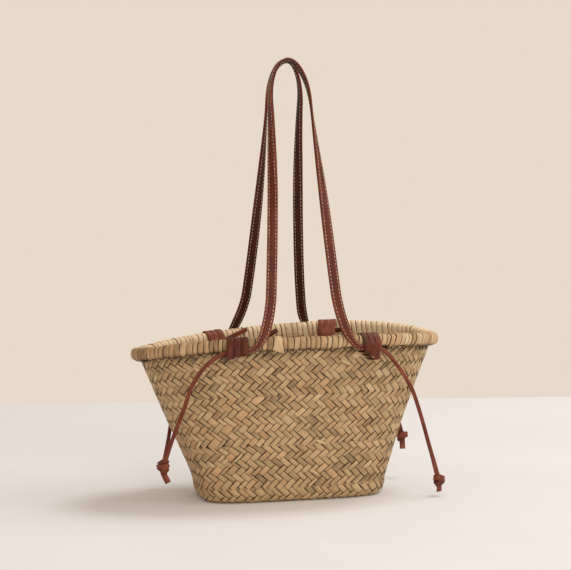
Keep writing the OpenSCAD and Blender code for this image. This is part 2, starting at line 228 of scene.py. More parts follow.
class Strips:
    """Swept strips that become one mesh. Each point has a tone, a hue and a place in the grain."""

    def __init__(self):
        self.points, self.faces, self.smooth, self.tone, self.hue, self.grain = [], [], [], [], [], []
        self.count = 0

    def add(self, grid, tone=0.5, hue=0.5, grain=0.0, closed=False):
        """grid is (strips, rings, sides, 3); the rest spreads over (strips, rings, sides)."""
        strips, rings, sides = grid.shape[:3]
        size = rings * sides
        ring = np.arange(rings if closed else rings - 1)
        side = np.arange(sides)
        here, there = ring[:, None] * sides, (ring[:, None] + 1) % rings * sides
        after = (side + 1) % sides
        walls = stacked(here + side, here + after, there + after, there + side).reshape(-1, 4)
        k = np.arange(sides // 2 - 1)
        cap = stacked(k, k + 1, sides - 2 - k, sides - 1 - k)
        caps = np.zeros((0, 4), int) if closed else np.concatenate([cap[:, ::-1], cap + (rings - 1) * sides])
        faces = np.concatenate([walls, caps])
        flat = grid.reshape(strips, size, 3)
        corner = flat[:, faces] - flat[:, None, :1]
        turned = np.cross(corner[:, :, 2] - corner[:, :, 0], corner[:, :, 3] - corner[:, :, 1])
        inside_out = (corner.mean(axis=2) * turned).sum(axis=(1, 2)) < 0
        every = np.where(inside_out[:, None, None], faces[None, :, ::-1], faces[None])
        every = every + self.count + size * np.arange(strips)[:, None, None]
        self.points.append(flat.reshape(-1, 3))
        self.faces.append(every.reshape(-1, 4))
        self.smooth.append(np.tile(np.arange(len(faces)) < len(walls), strips))
        self.tone.append(np.broadcast_to(tone, grid.shape[:3]).ravel())
        self.hue.append(np.broadcast_to(hue, grid.shape[:3]).ravel())
        self.grain.append(np.broadcast_to(grain, grid.shape).reshape(-1, 3))
        self.count += strips * size

    def sweep(self, line, across, out, section, tone=0.5, hue=0.5, seed=0.0, closed=False):
        """One strip: a section of (across, out) points, the same or one for each ring."""
        section = np.broadcast_to(section, (len(line), *section.shape[-2:]))
        grid = line[:, None] + section[..., :1] * across[:, None] + section[..., 1:] * out[:, None]
        travel = travelled(line)
        grain = stacked(travel[:, None], section[..., 0], seed)
        self.add(grid[None], tone, hue, grain[None], closed)

    def make(self, name, material, slot, *nodes):
        """The object, with its material; slot is not used. It stands for the CAD nodes."""
        points = (np.concatenate(self.points) * MM).astype(np.float32)
        faces = np.concatenate(self.faces).astype(np.int32)
        mesh = bpy.data.meshes.new(name)
        mesh.vertices.add(len(points))
        mesh.vertices.foreach_set("co", points.ravel())
        mesh.loops.add(faces.size)
        mesh.loops.foreach_set("vertex_index", faces.ravel())
        mesh.polygons.add(len(faces))
        mesh.polygons.foreach_set("loop_start", np.arange(0, faces.size, 4, dtype=np.int32))
        mesh.polygons.foreach_set("use_smooth", np.concatenate(self.smooth))
        mesh.update(calc_edges=True)
        for key, values in (("tone", self.tone), ("hue", self.hue)):
            mesh.attributes.new(key, "FLOAT", "POINT").data.foreach_set(
                "value", np.concatenate(values).astype(np.float32))
        mesh.attributes.new("grain", "FLOAT_VECTOR", "POINT").data.foreach_set(
            "vector", np.concatenate(self.grain).astype(np.float32).ravel())
        mesh.materials.append(material)
        thing = bpy.data.objects.new(name, mesh)
        bpy.context.scene.collection.objects.link(thing)
        if nodes:
            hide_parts(*nodes)
        return thing


def strip_section(width, thickness, crown=0.0):
    """Eight points round a flat strip with crisp edges and a slightly raised middle."""
    w, t = width / 2, thickness / 2
    shoulder = 0.9 * w
    return np.array([[-w, 0], [-shoulder, t], [0, t + crown], [shoulder, t],
                     [w, 0], [shoulder, -t], [0, crown - t], [-shoulder, -t]])


def lace_section(width, thickness, crease=0.0):
    """Twelve points round a leather lace, with a shallow crease along its outer face."""
    w, t = width / 2, thickness / 2
    edge_w, edge_t, flat_w = 0.92 * w, 0.7 * t, 0.7 * w
    return np.array([[-w, 0], [-edge_w, edge_t], [-flat_w, t], [0, t - crease], [flat_w, t], [edge_w, edge_t],
                     [w, 0], [edge_w, -edge_t], [flat_w, -t], [0, -t], [-flat_w, -t], [-edge_w, -edge_t]])


# --- Materials ---


class Nodes:
    """A node tree, with a few short ways to add nodes to it."""

    def __init__(self, tree):
        self.tree = tree

    def put(self, value, socket):
        if isinstance(value, bpy.types.NodeSocket):
            self.tree.links.new(value, socket)
        else:
            socket.default_value = value

    def node(self, kind, **inputs):
        made = self.tree.nodes.new(kind)
        for key, value in inputs.items():
            self.put(value, made.inputs[key.replace("_", " ")])
        return made

    def attribute(self, name, output="Fac"):
        made = self.tree.nodes.new("ShaderNodeAttribute")
        made.attribute_name = name
        return made.outputs[output]

    def maths(self, operation, a, b=0.0):
        made = self.tree.nodes.new("ShaderNodeMath")
        made.operation = operation
        self.put(a, made.inputs[0])
        self.put(b, made.inputs[1])
        return made.outputs[0]

    def remap(self, value, low, high, to_low=0.0, to_high=1.0):
        made = self.node("ShaderNodeMapRange", Value=value, From_Min=low, From_Max=high,
                         To_Min=to_low, To_Max=to_high)
        return made.outputs["Result"]

    def vary(self, value, noise, amount):
        """A value made higher and lower by the noise, by up to about that amount."""
        return self.maths("ADD", value, self.remap(noise, 0.3, 0.7, -amount, amount))

    def stretched(self, scale):
        """The grain coordinates with each axis scaled."""
        made = self.tree.nodes.new("ShaderNodeVectorMath")
        made.operation = "MULTIPLY"
        self.put(self.attribute("grain", "Vector"), made.inputs[0])
        self.put(scale, made.inputs[1])
        return made.outputs["Vector"]

    def noise(self, vector, scale=1.0, detail=3.0, roughness=0.55):
        made = self.node("ShaderNodeTexNoise", Vector=vector, Scale=scale, Detail=detail, Roughness=roughness)
        return made.outputs["Fac"]

    def ramp(self, value, *stops):
        made = self.node("ShaderNodeValToRGB", Fac=value)
        elements = made.color_ramp.elements
        while len(elements) < len(stops):
            elements.new(0.5)
        for element, (place, colour) in zip(elements, stops):
            element.position = place
            element.color = (*linear(colour), 1)
        return made.outputs["Color"]

    def blend(self, kind, amount, a, b):
        made = self.tree.nodes.new("ShaderNodeMix")
        made.data_type = "RGBA"
        made.blend_type = kind
        self.put(amount, made.inputs[0])
        self.put(a, made.inputs[6])
        self.put(b, made.inputs[7])
        return made.outputs[2]


class Shader(Nodes):
    """The node tree of a Principled material."""

    def __init__(self, name, **sockets):
        self.material = bpy.data.materials.new(name)
        self.material.use_nodes = True
        super().__init__(self.material.node_tree)
        self.main = self.tree.nodes["Principled BSDF"]
        for key, value in sockets.items():
            self.main.inputs[key.replace("_", " ")].default_value = value

    def finish(self, colour, height=None, bump=0.3, depth=0.3, roughness=None):
        self.put(colour, self.main.inputs["Base Color"])
        if roughness is not None:
            self.put(roughness, self.main.inputs["Roughness"])
        if height is not None:
            made = self.node("ShaderNodeBump", Strength=bump, Distance=depth * MM, Height=height)
            self.put(made.outputs["Normal"], self.main.inputs["Normal"])
        return self.material


def linear(colour):
    """Linear values of an sRGB colour given as 0 to 255."""
    c = np.array(colour) / 255
    return np.where(c <= 0.04045, c / 12.92, ((c + 0.055) / 1.055) ** 2.4).tolist()


def leaf_material(name, dark, middle, light, bump=0.5):
    """Dried palm leaf: fibres along each strip, its own tone and hue, greener and browner blotches."""
    s = Shader(name, Roughness=0.6, Specular_IOR_Level=0.35)
    fibres = s.noise(s.stretched((0.05, 2.6, 9.0)), detail=4, roughness=0.7)
    streaks = s.noise(s.stretched((0.02, 0.7, 5.0)), detail=2)
    blotches = s.noise(s.stretched((0.07, 0.16, 3.0)), detail=3)
    tone = s.vary(s.vary(s.vary(s.attribute("tone"), fibres, 0.1), streaks, 0.09), blotches, 0.1)
    colour = s.ramp(tone, (0.0, dark), (0.5, middle), (1.0, light))
    tint = s.ramp(s.attribute("hue"), (0.0, (210, 214, 194)), (0.35, (228, 226, 212)),
                  (0.65, (240, 228, 214)), (1.0, (246, 220, 202)))
    colour = s.blend("MULTIPLY", 0.75, colour, tint)
    return s.finish(colour, fibres, bump, 0.25, s.remap(streaks, 0.3, 0.7, 0.5, 0.72))


def leather_material(name, dark, middle, light, roughness=0.42, streak=0.5, bump=0.35):
    """Oiled leather: pores, soft blotches and streaks along its length, worn lighter at its edges."""
    s = Shader(name, Roughness=roughness, Specular_IOR_Level=0.25)
    pores = s.node("ShaderNodeTexVoronoi", Vector=s.stretched((1.5, 1.5, 3.0))).outputs["Distance"]
    streaks = s.noise(s.stretched((0.05, 1.0, 7.0)), detail=4)
    blotches = s.noise(s.stretched((0.05, 0.1, 3.0)), detail=3)
    tone = s.vary(s.vary(s.attribute("tone"), streaks, 0.25 * streak), blotches, 0.16)
    colour = s.ramp(tone, (0.0, dark), (0.5, middle), (1.0, light))
    height = s.maths("ADD", s.maths("MULTIPLY", pores, 0.5), streaks)
    return s.finish(colour, height, bump, 0.2, s.remap(streaks, 0.3, 0.7, roughness - 0.06, roughness + 0.1))


def thread_material():
    """Waxed sewing thread with a fine twist."""
    s = Shader("thread", Roughness=0.6)
    twist = s.noise(s.stretched((3.0, 3.0, 1.0)), detail=2)
    colour = s.ramp(s.vary(s.attribute("tone"), twist, 0.2), (0.0, (150, 116, 98)), (1.0, (228, 208, 190)))
    return s.finish(colour, twist, 0.4, 0.15)


def floor_material():
    """Pale painted boards, almost plain."""
    s = Shader("floor", Roughness=0.75, Specular_IOR_Level=0.2)
    place = s.node("ShaderNodeTexCoord").outputs["Object"]
    clouds = s.noise(place, scale=3.0, detail=4)
    colour = s.ramp(clouds, (0.3, (238, 239, 241)), (0.7, (243, 244, 246)))
    return s.finish(colour, s.noise(place, scale=40.0), 0.05, 1.0)


LEAF = leaf_material("plaited_leaf", (46, 31, 18), (196, 168, 130), (232, 210, 174))
WHIPPING = leaf_material("whipping_leaf", (58, 38, 22), (196, 166, 128), (246, 228, 198))
TWINE = leaf_material("leaf_twine", (44, 31, 18), (150, 124, 84), (206, 184, 140), bump=0.8)
CHESTNUT = leather_material("strap_leather", (44, 15, 7), (102, 42, 24), (150, 76, 50))
LINING = leather_material("strap_lining", (34, 12, 6), (68, 27, 14), (104, 48, 30), roughness=0.55)
LACE = leather_material("lace_leather", (36, 11, 4), (106, 48, 30), (166, 96, 74), streak=0.8)
THREAD = thread_material()

# --- Tails: free lengths of lace, each with a knot near its end ---

# The lace hangs rolled along its length, narrower than where it is wound, and opens out at its knot
TAIL_WIDTH, TAIL_THICKNESS, OPEN_THICKNESS = 5.0, 3.0, 2.2
OPENS_FROM, OPENS_OVER, OPENS_BY = 0.78, 0.2, 0.75  # as shares of the tail's length, and of the flat lace
TAIL_TWIST = 0.35
# How far each tail sways in toward the wall from its route
TAIL_TUCKS = {"front_left": 0, "front_right": 0, "back_left": 2.6, "back_right": 0}
KNOT_WIDTH, KNOT_DEPTH, KNOT_LACE = 6.6, 5.0, 2.4
# The two bands that cross on a knot: tilt, height over the tail's end, size, tone
KNOT_BANDS = ((0.2, 2.2, 1.0, 0.6), (-0.75, -1.6, 0.92, 0.42))
KNOT_LEAN = 0.25  # most by which a knot's bands are tilted further, either way
CORE_WIDTH, CORE_DEPTH, CORE_TOP, CORE_BOTTOM = 9.5, 8.5, 6.5, -6
CORE_TAPER = (0.6, 0.8, 0.95, 1, 1, 1, 0.95, 0.8, 0.6)
TIP_START, TIP_BEND, TIP_FROM = 4, 8, 7  # heights under the tail's end
# How far each tip reaches below its knot, and how much of that it leans along the tail's way out
TIPS = {"front_left": (11.5, -0.55), "front_right": (8, 0.1),
        "back_left": (8, -0.2), "back_right": (10, 0.05)}


def roll_y(x):
    return ROLL_B * np.sqrt(1 - (x / ROLL_A) ** 2)


def rim_dip(x):
    return np.where(x < 0, LEFT_DIP, RIGHT_DIP) * (np.abs(x) / (RIM_LENGTH / 2)) ** DIP_POWER


def back_warp(angle):
    """How far the back of the rim stands above its plain curve, at an angle round the basket."""
    x = ROLL_A * np.cos(angle)
    return np.maximum(0, np.sin(angle)) * x * np.where(x < 0, BACK_LEFT_SAG, BACK_RIGHT_LIFT)


def rim_z(x, angle):
    return RIM_HEIGHT - rim_dip(x) + back_warp(angle)


def roll_lift(x, side):
    return 0 * x if side < 0 else back_warp(np.arccos(x / ROLL_A))


def roll_z(x, side):
    return RIM_HEIGHT - rim_dip(x) + roll_lift(x, side)


def roll_turn(x):
    return np.arctan(ROLL_B ** 2 * x / (ROLL_A ** 2 * roll_y(x)))


def strap_rim_y(x):
    return (ROLL_B + STRAP_STAND_OFF) * np.sqrt(1 - (x / (ROLL_A + STRAP_STAND_OFF)) ** 2)


def on_side(points, side):
    """Points of the front side, or their mirror image on the back side."""
    return points * np.array([1.0, -side, 1.0])


def sweep_on(strips, side, line, across, out, section, **looks):
    """A strip along a line that is given for the front, on the front or the back."""
    strips.sweep(*(on_side(v, side) for v in (line, across, out)), section, **looks)


def tail_exit(corner):
    hand, side, binding_x, drop, *_ = corner
    x = hand * (binding_x + BINDING_HALF + 2 * JOINT_GAP)
    return np.array([x, 1 - strap_rim_y(x), roll_z(x, side) - drop])


def tail_way(corner):
    return np.array([corner[0] * math.cos(TAIL_TURN), math.sin(TAIL_TURN), 0])


def loop_frames(line, normal):
    """Across and out directions of a closed band whose face points away from the normal's axis."""
    along = along_of(line, closed=True)
    across = unit(normal - along * (along @ normal)[:, None])
    return across, np.cross(along, across)


def make_tail(name, corner, draw):
    side = corner[1]
    way = tail_way(corner)
    flat = np.cross(UP, way)
    route = np.array(corner[4], float)
    line = tail_exit(corner) + route[:, :1] * way + route[:, 1:] * UP
    line = curve_through(line, 2.5)
    line = line - TAIL_TUCKS[name] * smooth01(np.linspace(0, 2, len(line)))[:, None] * way
    along = along_of(line)
    turn = TAIL_TWIST * np.sin(np.linspace(0, 5, len(line)) + draw.uniform(0, 6))[:, None]
    rise = np.cross(flat, along)
    across = rise * np.cos(turn) + flat * np.sin(turn)
    out = np.cross(along, across)
    tail = Strips()
    open_out = smooth01((np.linspace(0, 1, len(line)) - OPENS_FROM) / OPENS_OVER)[:, None]
    rolled = lace_section(TAIL_WIDTH, TAIL_THICKNESS, 0.3)
    open_lace = lace_section(LACE_WIDTH, OPEN_THICKNESS, 0.15)
    section = mix(rolled, open_lace, OPENS_BY * open_out[..., None])
    sweep_on(tail, side, line, across, out, section, tone=0.55, seed=draw.uniform(0, 9))
    tail = tail.make(f"{name}_lace", LACE, "lace_leather", f"{name}_lace_tail")
    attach(tail, f"{name}_tail")

    knot = Strips()
    end = line[-1]
    lean = draw.uniform(-KNOT_LEAN, KNOT_LEAN)
    circle = round_angles(28)
    for band_tilt, lift, wide, tone in KNOT_BANDS:
        tilt = band_tilt + lean
        normal = unit(UP + math.tan(tilt) * way + 0.25 * math.sin(3 * tilt) * flat)
        first = unit(way - normal * (way @ normal))
        second = np.cross(normal, first)
        band = (end + lift * UP + KNOT_WIDTH * wide * np.cos(circle)[:, None] * first
                + KNOT_DEPTH * wide * np.sin(circle)[:, None] * second
                + 0.8 * np.sin(2 * circle)[:, None] * normal)
        across, out = loop_frames(band, normal)
        sweep_on(knot, side, band, across, out, lace_section(LACE_WIDTH, KNOT_LACE, 0.15),
                 tone=tone, seed=draw.uniform(0, 9), closed=True)
    rings = len(CORE_TAPER)
    core = end + np.linspace(CORE_TOP, CORE_BOTTOM, rings)[:, None] * UP
    section = lace_section(CORE_WIDTH, CORE_DEPTH) * np.array(CORE_TAPER)[:, None, None]
    sweep_on(knot, side, core, np.tile(way, (rings, 1)), np.tile(flat, (rings, 1)), section,
             tone=0.3, seed=draw.uniform(0, 9))
    reach, tip_lean = TIPS[name]
    tip = curve_through([end - TIP_START * UP, end - TIP_BEND * UP + tip_lean * 2 * way,
                         end - (TIP_FROM + reach) * UP + tip_lean * reach * way + 1.5 * flat], 2)
    along = along_of(tip)
    across = unit(way - along * (along @ way)[:, None])
    sweep_on(knot, side, tip, across, np.cross(along, across), lace_section(LACE_WIDTH, LACE_THICKNESS, 0.2),
             tone=0.55, seed=draw.uniform(0, 9))
    knot = knot.make(f"{name}_overhand_knot", LACE, "lace_leather", f"{name}_knot")
    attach(knot, f"{name}_tail")


tail_draw = np.random.default_rng(7)
for corner_name, corner_values in CORNERS.items():
    make_tail(corner_name, corner_values, tail_draw)

# --- Wall and base surface ---

WALL_LEVELS = 38  # half-rows of the plait from the corner's top to the rim
CORNER_LEVELS = 5.6  # the same down the rounded corner, from its top to the floor
LEVEL = 4.61  # height of one half-row, along the wall
WALL_AROUND = (690, 930)  # about how long the way round it is, at its foot and under the rim
ARC_STEPS = 720
FRONT_MIDDLE = -math.pi / 2


def wall_point(angle, k, inset):
    """Point of the wall that far inside its outer face; k is 0 at the corner's top and 1 under the rim."""
    base_x, base_y = oval(BASE_LENGTH / 2 - inset, BASE_DEPTH / 2 - inset, BASE_SQUARENESS, angle)
    top_x, top_y = oval(ROLL_A - WALL_INSET - inset, ROLL_B - WALL_INSET - inset, RIM_SQUARENESS, angle)
    top_z = rim_z(top_x, angle) - ROLL_RADIUS - CONTACT_GAP
    return stacked(mix(base_x, top_x, k), mix(base_y, top_y, k), mix(CORNER_HEIGHT, top_z, k))


def even_angles(closed_line, *values):
    """Angles at even shares of the way round a closed line, and the line's length."""
    angle = FRONT_MIDDLE + np.linspace(0, 2 * math.pi, ARC_STEPS + 1)
    travel = travelled(closed_line(angle, *values))
    return np.interp(np.linspace(0, travel[-1], ARC_STEPS + 1), travel, angle), travel[-1]


TABLE_ROWS = 20
WALL_ANGLES = np.array([even_angles(wall_point, k, 0.0)[0] for k in np.linspace(0, 1, TABLE_ROWS + 1)])


def wall_angle(share, k):
    turns = np.floor(share)
    column = (share - turns) * ARC_STEPS
    row = np.clip(k, 0, 1) * TABLE_ROWS
    c0 = np.minimum(column.astype(int), ARC_STEPS - 1)
    r0 = np.minimum(row.astype(int), TABLE_ROWS - 1)
    left = mix(WALL_ANGLES[r0, c0], WALL_ANGLES[r0 + 1, c0], row - r0)
    right = mix(WALL_ANGLES[r0, c0 + 1], WALL_ANGLES[r0 + 1, c0 + 1], row - r0)
    return mix(left, right, column - c0) + 2 * math.pi * turns


def skin_point(share, level, inset):
    """Point of the basket's skin: a share of the way round, and a level above the corner's top."""
    k = level / WALL_LEVELS
    angle = wall_angle(share, k)
    turn = math.pi * share
    wave = 0.5 * np.sin(6 * turn + 0.12 * level) + 0.4 * np.sin(14 * turn - 0.2 * level + 1)
    inset = inset + wave * np.clip(level / 4, 0, 1)
    wall = wall_point(angle, np.maximum(k, 0), inset)
    down = np.maximum(-level / CORNER_LEVELS, 0)
    bend = np.minimum(down, 1) * math.pi / 2
    under = np.maximum(down - 1, 0) * CORNER_LEVELS * LEVEL
    sunk = CORNER_INSET * (1 - np.cos(bend)) + inset * np.cos(bend) + under
    x, y = oval(BASE_LENGTH / 2 - sunk, BASE_DEPTH / 2 - sunk, BASE_SQUARENESS, angle)
    z = CORNER_HEIGHT * (1 - np.sin(bend)) + inset * np.sin(bend)
    return np.where((level < 0)[..., None], stacked(x, y, z), wall)


def skin_place(share, level, inset, height):
    """The same point, moved out by height along the surface's normal."""
    nudge = 0.05
    here = skin_point(share, level, inset)
    round_it = skin_point(share + nudge / 160, level, inset) - here
    up_it = skin_point(share, level + nudge, inset) - here
    return here + unit(np.cross(round_it, up_it)) * height[..., None]


# --- Plait: two families of leaf strips in a 2/2 twill ---

WEAVE_RISE = 0.85  # how far a strip's middle stands out over a crossing, and in under one
LEAF_THICKNESS, LEAF_CROWN = 0.8, 0.14
CELL = 6.95  # nominal width of a strip
COURSE_TUCK = 0.9  # levels by which a course carries on behind the one above it
END_TUCK = 0.22  # how far a course's lowest floats hang over the one below it, in strip widths
FRACTIONS = np.array([0, 0.07, 0.18, 0.5, 0.82, 0.93])
PLAIT_INSET = 2.1
EDGE_SHADE_TONE = -0.52 * np.array([1, 0, 0, 0, 1, 0, 0, 0])  # painted shade: a strip's cut edges are darkened, so the gaps between strips look shaded
UNDER_SHADE_TONE = -0.65  # painted shade: so is the part of it under a crossing, seen only through the gaps
SHADED_FROM, SHADED_BY = 35.6, 0.14  # painted shadow of the rim's roll: the plait is darkened above this level, close under the rim
WANDER = 0.13  # spread of the strips' edges round their even places, in strip widths
HALF_GAPS = (0.02, 0.07)  # least and most that a strip stands back from its edges, in strip widths
FLOAT_SPREADS = (0.03, 0.05, 0.12, 0.17)  # of each float's slip sideways, swelling, lift and tilt
STRIP_TONE, STRIP_TONE_SPREAD, FLOAT_TONE_SPREAD, HUE_SPREAD = 0.52, 0.05, 0.07, 0.11
BEHIND_INSET = 0.9  # a course's top, behind the course or rim above it, stands in by this much


def strip_edges(count, draw):
    """Edges of the strips of one family round a course, uneven as hand-split leaf is."""
    wander = wandering(draw, WANDER, count)
    return lambda i: i + wander[np.mod(i, count)]


def plait_family(strips, family, count, low, high, own, other, draw):
    """One family of a course. Family 0 leans right going up and family 1 leans left.

    Each strip runs through floats, two crossings long, over and under the other family in turn.
    """
    index = np.arange(count)
    near, far = own(index), own(index + 1)
    middle, half = (near + far) / 2, (far - near) / 2 - draw.uniform(*HALF_GAPS, count)
    floats = np.arange(math.floor(low / 2) - 2, math.ceil(high / 2) + 2)
    over = np.where(floats % 2 == 0, 1.0, -1.0)
    hand = 1 if family == 0 else -1
    if family == 0:
        start, stop = (other(index[:, None] + 2 * floats + k) for k in (0, 2))
        first_float = (low + 0.5) / 2
    else:
        start, stop = (-other(index[:, None] - 2 * floats - k) for k in (1, 3))
        first_float = (low - 1.5) / 2
    ends = hand * middle[:, None] + np.array([low + COURSE_TUCK, high + COURSE_TUCK])
    hangs = first_float % 2 == 0  # the course's lowest row shows this family's floats
    if hangs:
        lowest = int(first_float - floats[0])
        ends[:, 0] = start[:, lowest] - END_TUCK

    run = (start[..., None] + (stop - start)[..., None] * FRACTIONS).reshape(count, -1)
    part = np.tile(FRACTIONS, len(floats))
    side_of = np.repeat(over, len(FRACTIONS))
    rise = side_of * (smooth01(np.minimum(part, 1 - part) / 0.18) + 0.18 * np.sin(math.pi * part))
    order = 0.004 * np.arange(run.shape[1])
    bottom, top = ends[:, :1] + order, ends[:, 1:] - order[::-1]
    kept = ((run > bottom) & (run < top)).any(axis=0)
    span = slice(max(kept.argmax() - 1, 0), len(kept) - kept[::-1].argmax() + 1)
    run = np.clip(run, bottom, top)[:, span]
    rise, part, float_of = rise[span], part[span], (np.arange(len(kept)) // len(FRACTIONS))[span]
    run[:, 0], run[:, -1] = ends[:, 0], ends[:, 1]
    if hangs:
        rise = np.where(float_of <= lowest, np.maximum(rise, np.where(part < 0.5, 1.0, -1.0)), rise)

    looseness = np.sin(math.pi * part)

    def uneven(spread):
        return draw.normal(0, spread, (count, float_of.max() + 1))[:, float_of]

    nudge, swell, lift, tilt = (uneven(spread) * looseness for spread in FLOAT_SPREADS)
    section = strip_section(2, LEAF_THICKNESS, LEAF_CROWN)
    side = section[:, 0] * half[:, None, None] * (1 + swell[..., None])
    own_at = middle[:, None, None] + nudge[..., None] + side
    run_at = run[..., None] + 0 * side
    a_at, b_at = (own_at, run_at) if family == 0 else (-run_at, own_at)
    level = b_at - a_at
    share = (a_at + b_at) / 2 / count
    height = WEAVE_RISE * rise[:, None] + lift[..., None] + section[:, 1] + tilt[..., None] * section[:, 0]
    behind = smooth01((level - high) / 0.5)
    under = np.maximum(smooth01((0.35 - rise) / 0.7)[:, None], behind)
    under_inside = smooth01((0.35 + rise) / 0.7)[:, None]
    painted_shade = np.where(section[:, 1] > -0.05, under, under_inside)  # painted shade: each face is darkened where a crossing strip covers it, the outer one also behind the course above
    tone = draw.normal(STRIP_TONE, STRIP_TONE_SPREAD, (count, 1)) + uneven(FLOAT_TONE_SPREAD)
    hue = draw.normal(0.5, HUE_SPREAD, (count, 1)) + uneven(HUE_SPREAD)
    shaded = smooth01((level - SHADED_FROM) / 1.5)
    # painted shade: cut edges, parts under a crossing and the top close under the rim are darkened
    tone = tone[..., None] + EDGE_SHADE_TONE + UNDER_SHADE_TONE * painted_shade - SHADED_BY * shaded
    grain = stacked(run_at * CELL, side * CELL, draw.uniform(0, 40, (count, 1, 1)))
    place = skin_place(share, level, PLAIT_INSET + BEHIND_INSET * behind, height)
    strips.add(place, tone, hue[..., None], grain)


def plait(strips, count, low, high, draw):
    edges = [strip_edges(count, draw) for _ in range(2)]
    for family in (0, 1):
        plait_family(strips, family, count, low, high, edges[family], edges[1 - family], draw)


BASE_PITCH = 5.25  # half the width of a crossing, along the basket; LEVEL is the same across it
BASE_REACH = 44  # strips on each side of the middle one, in each family
BASE_REST, BASE_WEAVE, BASE_MARGIN, BASE_GAP, BASE_WANDER = 2.6, 0.7, 2, 0.045, 0.1
BASE_SAMPLES, FEWEST_SAMPLES = 1600, 24  # places tried along a strip, and how many of them keep it


def base_panel(strips, draw):
    """Flat plait across the floor of the basket, cut to an oval inside its corner."""
    half_x, half_y = (size / 2 - CORNER_INSET - BASE_MARGIN for size in (BASE_LENGTH, BASE_DEPTH))
    numbers = range(-BASE_REACH, BASE_REACH + 1)
    wander = wandering(draw, BASE_WANDER, (2, len(numbers) + 1))
    cuts = wander + np.arange(-BASE_REACH, BASE_REACH + 2)
    run = np.linspace(-2 * BASE_REACH, 2 * BASE_REACH, BASE_SAMPLES)
    for family in (0, 1):
        own, other = cuts[family], cuts[1 - family]
        for i, number in enumerate(numbers):
            middle, half = (own[i] + own[i + 1]) / 2, (own[i + 1] - own[i]) / 2 - BASE_GAP
            a, b = (middle, run) if family == 0 else (run, middle)
            inside = (np.abs((a + b) * BASE_PITCH / half_x) ** 4 + np.abs((b - a) * LEVEL / half_y) ** 4) < 1
            if inside.sum() < FEWEST_SAMPLES:
                continue
            low, high = run[inside][0], run[inside][-1]
            changes = [j for j in range(len(numbers))
                       if (j - BASE_REACH - number) % 2 == family and low < other[j] < high]
            at, sign = [low], [0.0]
            for j, after in zip(changes, changes[1:]):
                steps = other[j] + (other[after] - other[j]) * FRACTIONS
                turn = ((j - BASE_REACH - number) // 2) % 2 == 0
                at += steps.tolist()
                sign += ((1 if turn else -1) * smooth01(np.minimum(FRACTIONS, 1 - FRACTIONS) / 0.2)).tolist()
            at, sign = np.array(at + [high]), np.array(sign + [0.0])
            if len(at) < 4:
                continue
            if family == 1:
                sign = -sign
            section = strip_section(2, LEAF_THICKNESS, LEAF_CROWN)
            across = middle + section[:, 0] * half
            own_at, run_at = np.broadcast_arrays(across, at[:, None])
            a, b = (own_at, run_at) if family == 0 else (run_at, own_at)
            grid = stacked((a + b) * BASE_PITCH, (b - a) * LEVEL,
                           BASE_REST + BASE_WEAVE * sign[:, None] + section[:, 1])
            grain = stacked(run_at * CELL, (own_at - middle) * CELL, draw.uniform(0, 40))
            strips.add(grid[None], draw.normal(0.5, 0.12), draw.normal(0.5, 0.15), grain[None])


SEAM_LEVELS = (-0.5, 11.5, 25.5)
# Courses: name: (strips of each family round it, lowest level, highest level, CAD node)
COURSES = {
    "base_plait": (61, -7.4, SEAM_LEVELS[0], "base_band"),
    "lower_plait": (66, SEAM_LEVELS[0], SEAM_LEVELS[1], "lower_wall_band"),
    "middle_plait": (76, SEAM_LEVELS[1], SEAM_LEVELS[2], "middle_wall_band"),
    "upper_plait": (86, SEAM_LEVELS[2], WALL_LEVELS, "upper_wall_band"),
}

for seed, (name, (count, low, high, node)) in enumerate(COURSES.items()):
    draw = np.random.default_rng(20 + seed)
    strips = Strips()
    plait(strips, count, low, high, draw)
    if name == "base_plait":
        base_panel(strips, draw)
    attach(strips.make(name, LEAF, "plaited_leaf", node), "basket")


# --- Sewing inside the seams ---

STITCH_PITCH, STITCH_SLANT, STITCH_REACH, TWINE_RADIUS = 6.2, 2.6, 3.4, 0.65


def make_seam_stitches():
    draw = np.random.default_rng(31)
    strips = Strips()
    turn = round_angles(6)
    bow = np.linspace(-1, 1, 7)
    for level in SEAM_LEVELS:
        ring = skin_point(np.linspace(0, 1, 200), np.full(200, level), 0.0)
        length = np.linalg.norm(np.diff(ring, axis=0), axis=1).sum()
        count = int(length / STITCH_PITCH)
        middle = (np.arange(count) + draw.uniform(-0.2, 0.2, count)) / count
        reach = STITCH_REACH * draw.uniform(0.8, 1.2, (count, 1))
        share = middle[:, None] + bow * STITCH_SLANT / length
        height = -BRAID_THICKNESS - 0.1 - 1.1 * (1 - bow ** 4)
        thick = TWINE_RADIUS * (1 - 0.6 * bow ** 4)[None, :, None]
        share = share[..., None] + thick * np.cos(turn) / length
        level_at = (level + bow * reach / LEVEL)[..., None] + 0 * share
        inset = -(height[None, :, None] + thick * np.sin(turn)) + 0 * share
        tone = draw.uniform(0.2, 0.8, (count, 1, 1))
        grain = stacked(bow[:, None] * reach[..., None], turn * 0.6, draw.uniform(0, 9, (count, 1, 1)))
        strips.add(skin_point(share, level_at, inset), tone, 0.5, grain)
    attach(strips.make("seam_stitches", TWINE, "leaf_twine", "seam_twine"), "basket")


make_seam_stitches()

# --- Rim: a bundle of leaf and the wraps round it ---

WRAP_COUNT = 138
BOXINESS = 2.6
BUNDLE_RADIUS = 6.7
WRAP_WIDTHS = (0.72, 1.3)  # narrowest and widest wrap, as shares of the usual one
WRAP_HALF_GAPS = (0.05, 0.42)
OUTER_DROP, INNER_DROP = 7.5, 10.5  # how far the wraps reach below the roll's centre, outside and in
WRAP_TIPS = (0.15, 0.7)  # least and most width of a wrap where it goes in at the wall, as shares of its own
TIP_WIDENS = (0, 0.25, 0.55, 0.8, 0.95)  # from there to its full width, ring by ring
# How far a wrap runs along the rim in 20 mm of its height, at the front's right end and at the back
FRONT_LEAN, BACK_LEAN = 8.5, 3.0
